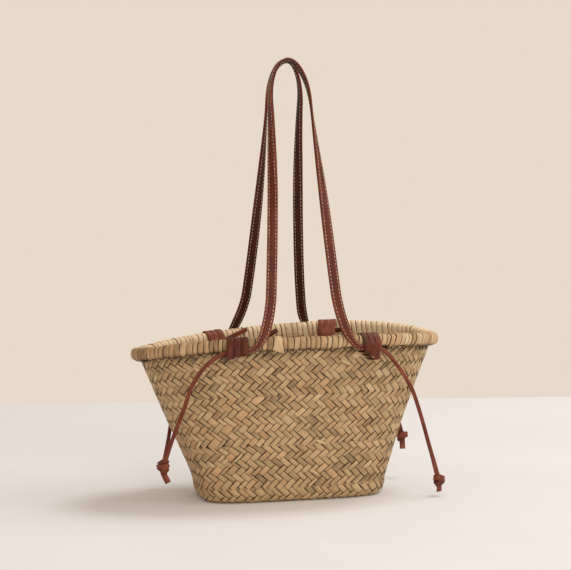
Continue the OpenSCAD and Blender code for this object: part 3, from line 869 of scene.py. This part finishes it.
# Painted light: tones of the wraps at the left and the right end; the back of the rim, lit from above and
# behind, is painted paler than the front, and the right end, lit from the right, paler than the left
FRONT_LIT_TONES, BACK_LIT_TONES = (0.34, 0.62), (0.88, 1.1)


def roll_centre(angle):
    x, y = oval(ROLL_A, ROLL_B, RIM_SQUARENESS, angle)
    return stacked(x, y, rim_z(x, angle))


ROLL_ANGLES, ROLL_LENGTH = even_angles(roll_centre)


def roll_angle(share):
    return np.interp(np.mod(share, 1), np.linspace(0, 1, ARC_STEPS + 1), ROLL_ANGLES)


def roll_place(share, out, up):
    """Point beside the roll's centreline: that far outward and that far up."""
    x, y, z = np.moveaxis(roll_centre(roll_angle(share)), -1, 0)
    outward = unit(stacked(x / ROLL_A ** 2, y / ROLL_B ** 2))
    return stacked(x + out * outward[..., 0], y + out * outward[..., 1], z + up + 0 * out)


def wall_slope(share):
    """How far the wall leans in for each millimetre down from the rim."""
    top, low = (wall_point(roll_angle(share), k, 0.0) for k in (1.0, 0.8))
    flat = top[..., :2] - low[..., :2]
    return np.linalg.norm(flat, axis=-1) / (top[..., 2] - low[..., 2])


def make_rim_bundle():
    strips = Strips()
    share = np.linspace(0, 1, 180, endpoint=False)[:, None]
    around = round_angles(16)
    out, up = oval(BUNDLE_RADIUS, BUNDLE_RADIUS, BOXINESS, around)
    grid = roll_place(share + 0 * out, out + 0 * share, up + 0 * share)
    grain = stacked(share * ROLL_LENGTH, around * BUNDLE_RADIUS, 3.0)
    # painted shade: the bundle takes the darkest tone, so the slits between the wraps look shaded
    strips.add(grid[None], 0.05, 0.5, grain[None], closed=True)
    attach(strips.make("rim_bundle", TWINE, "leaf_twine", "rim_core"), "basket")


def make_rim_wraps():
    draw = np.random.default_rng(44)
    width = draw.uniform(*WRAP_WIDTHS, WRAP_COUNT)
    edge = np.concatenate([[0], np.cumsum(width)]) / width.sum()
    middle, width = (edge[1:] + edge[:-1]) / 2, np.diff(edge) * ROLL_LENGTH
    half = width / 2 - draw.uniform(*WRAP_HALF_GAPS, WRAP_COUNT)
    slope = wall_slope(middle)
    outer_drop = OUTER_DROP + draw.normal(0, 0.8, WRAP_COUNT)
    inner_drop = INNER_DROP + draw.normal(0, 1.2, WRAP_COUNT)
    outer = -WALL_INSET - slope * (outer_drop - ROLL_RADIUS)
    inner = -WALL_INSET - BRAID_THICKNESS - slope * (inner_drop - ROLL_RADIUS)
    r = ROLL_RADIUS - LEAF_THICKNESS / 2 + draw.uniform(-0.35, 0.2, WRAP_COUNT)
    outline = [(outer - 1.6, -outer_drop - 0.8), (outer + 0.4, -outer_drop),
               (0.5 * r, -0.12 * r - 0.76 * outer_drop), (0.9 * r, -0.66 * r), (1.03 * r, -0.1 * r),
               (0.95 * r, 0.6 * r), (0.6 * r, 0.95 * r), (0 * r, 1.03 * r), (-0.6 * r, 0.95 * r),
               (-0.95 * r, 0.6 * r), (-1.03 * r, 0 * r), (-0.98 * r, -0.62 * r),
               (-0.95 * r, -r - 0.4), (inner - 0.5, -inner_drop), (inner + 1.6, -inner_drop - 1.3)]
    path = rounded(np.array(outline).transpose(2, 0, 1), 1)
    rings = path.shape[1]
    step = np.gradient(path, axis=1)
    normal = unit(stacked(step[..., 1], -step[..., 0]))
    travel = np.cumsum(np.linalg.norm(step, axis=-1), axis=1)

    taper = np.ones((WRAP_COUNT, rings))
    for ring, k in enumerate(TIP_WIDENS):
        taper[:, ring] = mix(draw.uniform(*WRAP_TIPS, WRAP_COUNT), 1, k)
    x_here = roll_place(middle, 0 * middle, 0 * middle)[:, 0]
    in_front = (middle < 0.25) | (middle > 0.75)
    lean = np.where(in_front, FRONT_LEAN * smooth01((x_here + 60) / 240), BACK_LEAN)
    lean = lean + draw.normal(0, 0.7, WRAP_COUNT)
    skew = draw.normal(0, 0.45, (WRAP_COUNT, 1)) * np.array([1.6, 1.2, 0.6] + [0] * (rings - 3))
    section = strip_section(2, LEAF_THICKNESS, 0.3)
    tilt = draw.normal(0, 0.25, (WRAP_COUNT, 1, 1))
    across = section[:, 0] * (half[:, None] * taper)[..., None]
    height = section[:, 1] + tilt * section[:, 0]
    out = path[..., :1] + normal[..., :1] * height
    up = path[..., 1:] + normal[..., 1:] * height
    shift = across + (lean[:, None] * path[..., 1] / 20 + skew)[..., None]
    # painted shade: the wraps are darkened where they run down under the roll, and at their cut edges
    shade_under_roll = smooth01((-path[..., 1:] - 3) / 5)
    to_right = smooth01((x_here + 150) / 300)
    # painted light: paler at the back of the rim and towards its right end, where the light falls
    lit_tone = np.where(in_front, mix(*FRONT_LIT_TONES, to_right), mix(*BACK_LIT_TONES, to_right))
    tone = draw.normal(0, 0.1, (WRAP_COUNT, 1, 1)) + lit_tone[:, None, None] - 0.3 * shade_under_roll + EDGE_SHADE_TONE
    grain = stacked(travel[..., None], across, draw.uniform(0, 40, (WRAP_COUNT, 1, 1)))
    strips = Strips()
    strips.add(roll_place(middle[:, None, None] + shift / ROLL_LENGTH, out, up), tone,
               draw.normal(0.58, 0.09, (WRAP_COUNT, 1, 1)), grain)
    return strips, draw


def rim_share(x, side):
    """Share of the way round at which the roll is at that x, on the front (-1) or the back (1)."""
    share = np.linspace(-0.25, 0.25, 401) if side < 0 else np.linspace(0.75, 0.25, 401)
    place = roll_place(share, 0 * share, 0 * share)[:, 0]
    return float(np.interp(x, place, share))


FLARED_X, FLARED_FROM, FLARED_TO = -34.5, 3.6, 7.2  # place along the rim, and half widths
FLARED_PATH = [(-2, 8.9), (4, 9.1), (8, 7), (9.2, 2), (9.1, -2.5), (8, -6), (6, -8.8)]  # as (outward, up)


def add_flared_wrap(strips, draw):
    """A wide leaf end that was tucked over the front of the roll and cut off aslant below it."""
    path = rounded(np.array(FLARED_PATH), 1)
    count = len(path)
    step = np.gradient(path, axis=0)
    normal = unit(stacked(-step[:, 1], step[:, 0]))  # away from the roll
    section = strip_section(2, LEAF_THICKNESS, 0.6)
    across = section[:, 0] * mix(FLARED_FROM, FLARED_TO, np.linspace(0, 1, count) ** 1.4)[:, None]
    slanted = np.zeros((count, 8))
    slanted[-3:] = section[:, 0] * np.array([[-0.4], [-1.2], [-2.6]])
    out = path[:, :1] + normal[:, :1] * section[:, 1]
    up = path[:, 1:] + normal[:, 1:] * section[:, 1] + slanted
    share = rim_share(FLARED_X, -1) + across / ROLL_LENGTH
    grain = stacked(np.arange(count)[:, None] * 2.5, across, 11.0)
    strips.add(roll_place(share, out, up)[None], draw.uniform(0.62, 0.66), 0.6, grain[None])


# Loose ends of leaf, as (share of the way round, level, length, width, tilt): two at the front left,
# and the lowest and highest values of the others
LOOSE_ENDS = [(-0.145, 33.6, 17, 5.0, -30), (-0.115, 30.8, 18, 5.2, -28)]
MORE_LOOSE_ENDS, LOOSE_LOW, LOOSE_HIGH = 10, (-0.5, 3, 9, 3, -45), (0.5, 36, 15, 4.6, 45)


def make_loose_ends():
    """Pointed ends of leaf that stand a little off the weave."""
    draw = np.random.default_rng(58)
    ends = [*LOOSE_ENDS, *draw.uniform(LOOSE_LOW, LOOSE_HIGH, (MORE_LOOSE_ENDS, 5))]
    strips = Strips()
    k = np.linspace(0, 1, 9)[:, None]
    section = strip_section(2, 0.7, 0.4)
    for share, level, length, width, tilt in ends:
        turn = math.radians(tilt)
        half = width / 2 * np.minimum(1, (1 - k) * 3 + 0.12) ** 0.8 * np.minimum(1, k * 3 + 0.35)
        forward, sideways = (k - 0.5) * length, section[:, 0] * half
        run = forward * math.cos(turn) - sideways * math.sin(turn)
        rise = forward * math.sin(turn) + sideways * math.cos(turn)
        height = mix(-0.6, 1.35, np.sin(np.clip(k * 1.25, 0, 1) * math.pi / 2)) + section[:, 1]
        around = mix(*WALL_AROUND, level / WALL_LEVELS)
        grid = skin_place(share + run / around, level + rise / LEVEL, 0.6, height)
        grain = stacked(forward, sideways, draw.uniform(0, 40))
        strips.add(grid[None], draw.uniform(0.62, 0.85), draw.uniform(0.3, 0.7), grain[None])
    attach(strips.make("loose_leaf_ends", LEAF, "plaited_leaf"), "basket")


make_rim_bundle()
wraps, wrap_draw = make_rim_wraps()
add_flared_wrap(wraps, wrap_draw)
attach(wraps.make("rim_wraps", WHIPPING, "whipping_leaf", "rim_whipping"), "basket")
make_loose_ends()

# --- Lace bindings and their short ends ---

TURN_INSIDE, WOUND_GAP = 10.8, 0.5
STUB_GAP, STUB_DROP, STUB_SPREAD, STUB_WIDTH = 3.2, 4, 5, 5.8
STUB_TONES = {"front_left": 0.25, "front_right": 0.25, "back_left": 0.6, "back_right": 0.25}
# How low each turn of a binding goes below the roll's centre, from the middle outward
TURN_DROPS = {"front_left": (11, 11.6, 13.6), "front_right": (12, 16.7, 21.4),
              "back_left": (12, 13.4, 15), "back_right": (12, 13.6, 15.2)}
# How far each turn stands off the one before it, so that their edges overlap
TURN_LIFTS = (0.25, 0.0, 0.3)
# Painted light and shade: the back bindings, lit from above and behind, are painted paler than the front
# ones, which stand in shade
TURN_LIT_TONES = {"front_left": 0.28, "front_right": 0.36, "back_left": 0.62, "back_right": 0.7}
TURN_OVERLAP = 1.13
# How far the lower part of each turn slides along the rim, in the same order
TURN_SLIDES = {"front_left": (0.5, 0.2, 0.0), "front_right": (0.8, -1.2, -3.0),
               "back_left": (0.5, 0.0, 0.4), "back_right": (2.2, 0.4, -1.6)}
# How far a turn leans along the rim, for each millimetre down
TURN_LEANS = {"front_left": 0.0, "front_right": 0.0, "back_left": 0.3, "back_right": -0.1}


def turn_path(drop):
    """Closed path of a turn of lace round the roll, as (outward, up)."""
    r = ROLL_RADIUS + WOUND_GAP + LACE_THICKNESS / 2
    outer = STRAP_STAND_OFF + STRAP_LAYER + WOUND_GAP + LACE_THICKNESS / 2
    inner, floor = TURN_INSIDE + LACE_THICKNESS / 2, -LACE_THICKNESS / 2 - drop
    arc = [(-r * math.cos(math.radians(a)), r * math.sin(math.radians(a))) for a in range(155, -1, -31)]
    return np.array(arc + [(-inner, -6), (-inner, floor + 2.5), (2.5 - inner, floor), (outer - 2.2, floor),
                           (outer, floor + 2), (outer, -8), (outer - 0.2, -2.5)])


def make_binding(name, corner, draw):
    hand, side, binding_x = corner[:3]
    strips = Strips()
    for turn in range(LACE_TURNS):
        x = hand * (binding_x - BINDING_HALF + (turn + 0.5) * TURN_PITCH)
        path = rounded(turn_path(TURN_DROPS[name][turn]), 2, closed=True)
        slide = TURN_SLIDES[name][turn] * smooth01(-path[:, 1] / 14) - TURN_LEANS[name] * path[:, 1]
        grow = TURN_LIFTS[turn] + draw.uniform(-0.08, 0.08)
        middle_x = x + slide + draw.normal(0, 0.15)
        turned = roll_turn(middle_x)
        outward = stacked(np.sin(turned), -np.cos(turned), 0 * turned)
        line = (stacked(middle_x, -roll_y(middle_x), roll_z(middle_x, side))
                + path[:, :1] * outward + path[:, 1:] * UP)
        rim_way = np.array([math.cos(roll_turn(x)), math.sin(roll_turn(x)), 0.0])
        across, out = loop_frames(line, rim_way)
        line = line + out * grow * np.sign((out * outward).sum(axis=1).mean() + 1e-9)
        section = lace_section(LACE_WIDTH * TURN_OVERLAP, LACE_THICKNESS, 0.1)
        sweep_on(strips, side, line, across, out, section, tone=TURN_LIT_TONES[name] + draw.normal(0, 0.06),
                 seed=draw.uniform(0, 30), closed=True)
    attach(strips.make(f"{name}_lace_turns", LACE, "lace_leather", f"{name}_binding"), "basket")


def make_short_end(name, corner, draw):
    hand, side, binding_x, _, _, reach, rise = corner
    side_x = hand * binding_x + math.copysign(BINDING_HALF + JOINT_GAP, reach)
    start_x = side_x - (TURN_INSIDE + LACE_THICKNESS) * math.sin(roll_turn(side_x))
    k = np.linspace(-0.15, 1, 14)
    x = start_x + reach * k
    line = stacked(x, -roll_y(x) + ROLL_RADIUS + STUB_GAP + STUB_SPREAD * k,
                   roll_z(x, side) - STUB_DROP + rise * k)
    along = along_of(line)
    out = np.tile([0.0, 1.0, 0.0], (len(k), 1))
    across = unit(np.cross(out, along))
    out = np.cross(along, across)
    strips = Strips()
    section = lace_section(STUB_WIDTH, LACE_THICKNESS, 0.1)
    sweep_on(strips, side, line, across, out, section, tone=STUB_TONES[name], seed=draw.uniform(0, 30))
    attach(strips.make(f"{name}_lace_stub", LACE, "lace_leather", f"{name}_lace_end"), "basket")


binding_draw = np.random.default_rng(71)
for corner_name, corner_values in CORNERS.items():
    make_binding(corner_name, corner_values, binding_draw)
    make_short_end(corner_name, corner_values, binding_draw)

# --- Straps ---

STRAP_END = BINDING_HALF - 1  # how far past its binding's middle the end of a strap lies
STITCH_ROW = STRAP_WIDTH / 2 - STITCH_MARGIN
THREAD_PITCH, THREAD_STITCH, THREAD_WIDTH, THREAD_RISE = 4.6, 3.0, 0.8, 0.4


def lean(z):
    h = z - LEAN_START + LEAN_BEND / 2
    return np.where(h < 0, 0, np.where(h < LEAN_BEND, h * h / (2 * LEAN_BEND), h - LEAN_BEND / 2))


def strap_y(x, z):
    return -mix(strap_rim_y(x), APEX_Y, lean(z) / (STRAP_TOP - LEAN_START))


def strap_frames(strap):
    """Middle, across and outward directions every 3 mm along the front side's version of a strap."""
    side, binding_x, shift, shift_rise, bend, leg, arch = strap
    start = (binding_x - BINDING_HALF - JOINT_GAP, STRAP_LEVEL)
    flat_x = np.linspace(binding_x + STRAP_END, start[0], 8, endpoint=False)
    half = [stacked(flat_x, np.full(8, STRAP_LEVEL))]
    here = start
    for stretch, steps in ((bend, 24), (leg, 60), (arch, 30)):
        p1, p2, p3 = np.array(stretch, float)
        half.append(bezier(np.array(here, float), p1, p2, p3, np.linspace(0, 1, steps, endpoint=False)))
        here = stretch[2]
    half = resample(np.vstack([*half, [here]]), 3)
    left = half * np.array([-1, 1])
    line = np.vstack([left, half[-2::-1]])
    x = line[:, 0] + shift * smooth01((line[:, 1] - STRAP_LEVEL) / shift_rise)
    z = line[:, 1]
    place = stacked(x, strap_y(x, z), z)
    along = along_of(place)
    small = 0.5
    slope_x = (strap_y(x + small, z) - strap_y(x - small, z)) / (2 * small)
    slope_z = (strap_y(x, z + small) - strap_y(x, z - small)) / (2 * small)
    surface = unit(stacked(slope_x, np.full(len(x), -1.0), slope_z))
    front = unit(surface - along * (surface * along).sum(axis=1, keepdims=True))
    up = np.cross(front, along)
    twist = math.pi / 2 * smooth01((z - TWIST_FROM) / (TWIST_TO - TWIST_FROM))[:, None]
    out = np.cos(twist) * front + np.sin(twist) * up
    held = np.sign(x) * np.maximum(np.abs(x), binding_x - BINDING_HALF)
    lift = roll_lift(held, side) * (1 - smooth01((z - STRAP_LEVEL) / SETTLE_RISE))
    narrowed = mix(STRAP_END_WIDTH / STRAP_WIDTH, 1, smooth01((z - STRAP_LEVEL) / WIDEN_RISE))
    return place + lift[:, None] * UP, narrowed[:, None] * np.cross(out, along), out


def layer_section(low, high, outer):
    """Section of one leather layer. Its outer face is soft-edged and pulled in by the stitching."""
    w, row, pulled = STRAP_WIDTH / 2, STITCH_ROW, 0.16
    top = [(-w, 0.3), (-w + 0.12, 0.75), (-w + 0.55, 0.98)]
    edge = [(w - 0.55, 0.98), (w - 0.12, 0.75), (w, 0.3)]
    middle = [(-row - 0.7, 1.0), (-row, 1 - pulled), (-row + 0.8, 1.0), (0, 1.04),
              (row - 0.8, 1.0), (row, 1 - pulled), (row + 0.7, 1.0)]
    under = [(w - 0.1, 0), (w / 2, 0), (-w / 2, 0), (-w + 0.1, 0)]
    points = np.array(top + middle + edge + under + [(-w + 0.02, 0.12)])
    depth = mix(low, high, points[:, 1]) if outer else -mix(low, high, points[:, 1])
    return stacked(points[:, 0], depth)


def make_strap(name, strap, draw):
    side = strap[0]
    place, across, out = (on_side(v, side) for v in strap_frames(strap))
    strap_ends = [f"{name.split('_')[0]}_{hand}_strap_end" for hand in ("left", "right")]
    layers = ((f"{name}_outer", True, CHESTNUT, "strap_leather", [f"{name}_face", *strap_ends]),
              (f"{name}_inner", False, LINING, "strap_lining", [f"{name}_lining"]))
    for piece, outer, material, slot, nodes in layers:
        strips = Strips()
        section = layer_section(0.02, STRAP_LAYER, outer)
        wear = 0.42 + 0.22 * smooth01((np.abs(section[:, 0]) - STITCH_ROW + 0.5) / 1.6)
        strips.sweep(place, across, out, section, tone=wear, seed=draw.uniform(0, 30))
        made = strips.make(piece, material, slot, *nodes)
        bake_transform(made)

    travel = travelled(place)
    count = int((travel[-1] - 4) / THREAD_PITCH)
    bow = np.linspace(-1, 1, 5)
    turn = round_angles(6)
    strips = Strips()
    for row in (-STITCH_ROW, STITCH_ROW):
        for facing in (1, -1):
            at = 2 + THREAD_PITCH * (np.arange(count) + 0.5) + draw.normal(0, 0.12, count)
            at = at[:, None] + bow * THREAD_STITCH / 2
            frames = [np.stack([np.interp(at, travel, v[:, i]) for i in range(3)], axis=-1)[..., None, :]
                      for v in (place, across, out)]
            slant = 0.28 * bow[:, None] + draw.normal(0, 0.05, (count, 1, 1))
            girth = (1 - 0.45 * bow ** 4)[:, None]
            wide = row + slant + THREAD_WIDTH / 2 * girth * np.cos(turn)
            rise = STRAP_LAYER - 0.22 + THREAD_RISE * (1 - bow ** 2)[:, None] + 0.3 * girth * np.sin(turn)
            grid = frames[0] + wide[..., None] * frames[1] + facing * rise[..., None] * frames[2]
            grain = stacked(at[..., None], turn * 0.4, 5.0 + 0 * wide)
            strips.add(grid, draw.uniform(0.35, 0.95, (count, 1, 1)), 0.5, grain)
    thread = strips.make(f"{name}_thread", THREAD, "thread", f"{name}_stitching")
    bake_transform(thread)


strap_draw = np.random.default_rng(90)
make_strap("front_strap", FRONT_STRAP, strap_draw)
make_strap("back_strap", BACK_STRAP, strap_draw)

# --- Floor, backdrop and light ---

FLOOR_HALF, FLOOR_STEPS = 970, 24
BACKDROP = (232, 217, 202)
SKYLIGHT = (248, 230, 212)
WORLD_LIGHT = 0.58
# Lights: name: (azimuth, elevation, distance and size in metres, power, colour)
LIGHTS = {
    "key": (105, 66, 4.0, 1.5, 54, (250, 250, 250)),
    "window": (70, 34, 4.0, 3.2, 40, (250, 250, 250)),
    "front": (2, 14, 4.0, 3.0, 52, (255, 248, 240)),
}


def make_floor():
    ticks = np.linspace(-FLOOR_HALF, FLOOR_HALF, FLOOR_STEPS + 1) * MM
    points = [(x, y, 0) for y in ticks for x in ticks]
    row = len(ticks)
    corners = [i * row + j for i in range(FLOOR_STEPS) for j in range(FLOOR_STEPS)]
    faces = [(at, at + 1, at + row + 1, at + row) for at in corners]
    mesh = bpy.data.meshes.new("floor")
    mesh.from_pydata(points, [], faces)
    mesh.materials.append(floor_material())
    floor = bpy.data.objects.new("floor", mesh)
    floor.rotation_euler[2] = math.radians(CAMERA_AZIMUTH)
    bpy.context.scene.collection.objects.link(floor)


def make_world():
    world = bpy.data.worlds.new("studio")
    world.use_nodes = True
    nodes = Nodes(world.node_tree)
    background = nodes.tree.nodes["Background"].inputs
    seen = nodes.node("ShaderNodeLightPath").outputs["Is Camera Ray"]
    nodes.put(nodes.remap(seen, 0, 1, WORLD_LIGHT), background["Strength"])
    sky, wall = ((*linear(colour), 1) for colour in (SKYLIGHT, BACKDROP))
    nodes.put(nodes.blend("MIX", seen, sky, wall), background["Color"])
    bpy.context.scene.world = world


def area_light(name, azimuth, elevation, distance, size, power, colour):
    light = bpy.data.lights.new(name, "AREA")
    light.shape = "DISK"
    light.size = size
    light.energy = power
    light.color = linear(colour)
    lamp = bpy.data.objects.new(name, light)
    way = direction(azimuth, elevation)
    lamp.location = Vector(way * distance + np.array([0, 0, 0.2]))
    lamp.rotation_mode = "QUATERNION"
    lamp.rotation_quaternion = Vector(-way).to_track_quat("-Z", "Y")
    bpy.context.scene.collection.objects.link(lamp)


make_floor()
make_world()
for light_name, light_values in LIGHTS.items():
    area_light(light_name, *light_values)
bpy.context.scene.view_settings.view_transform = "Standard"
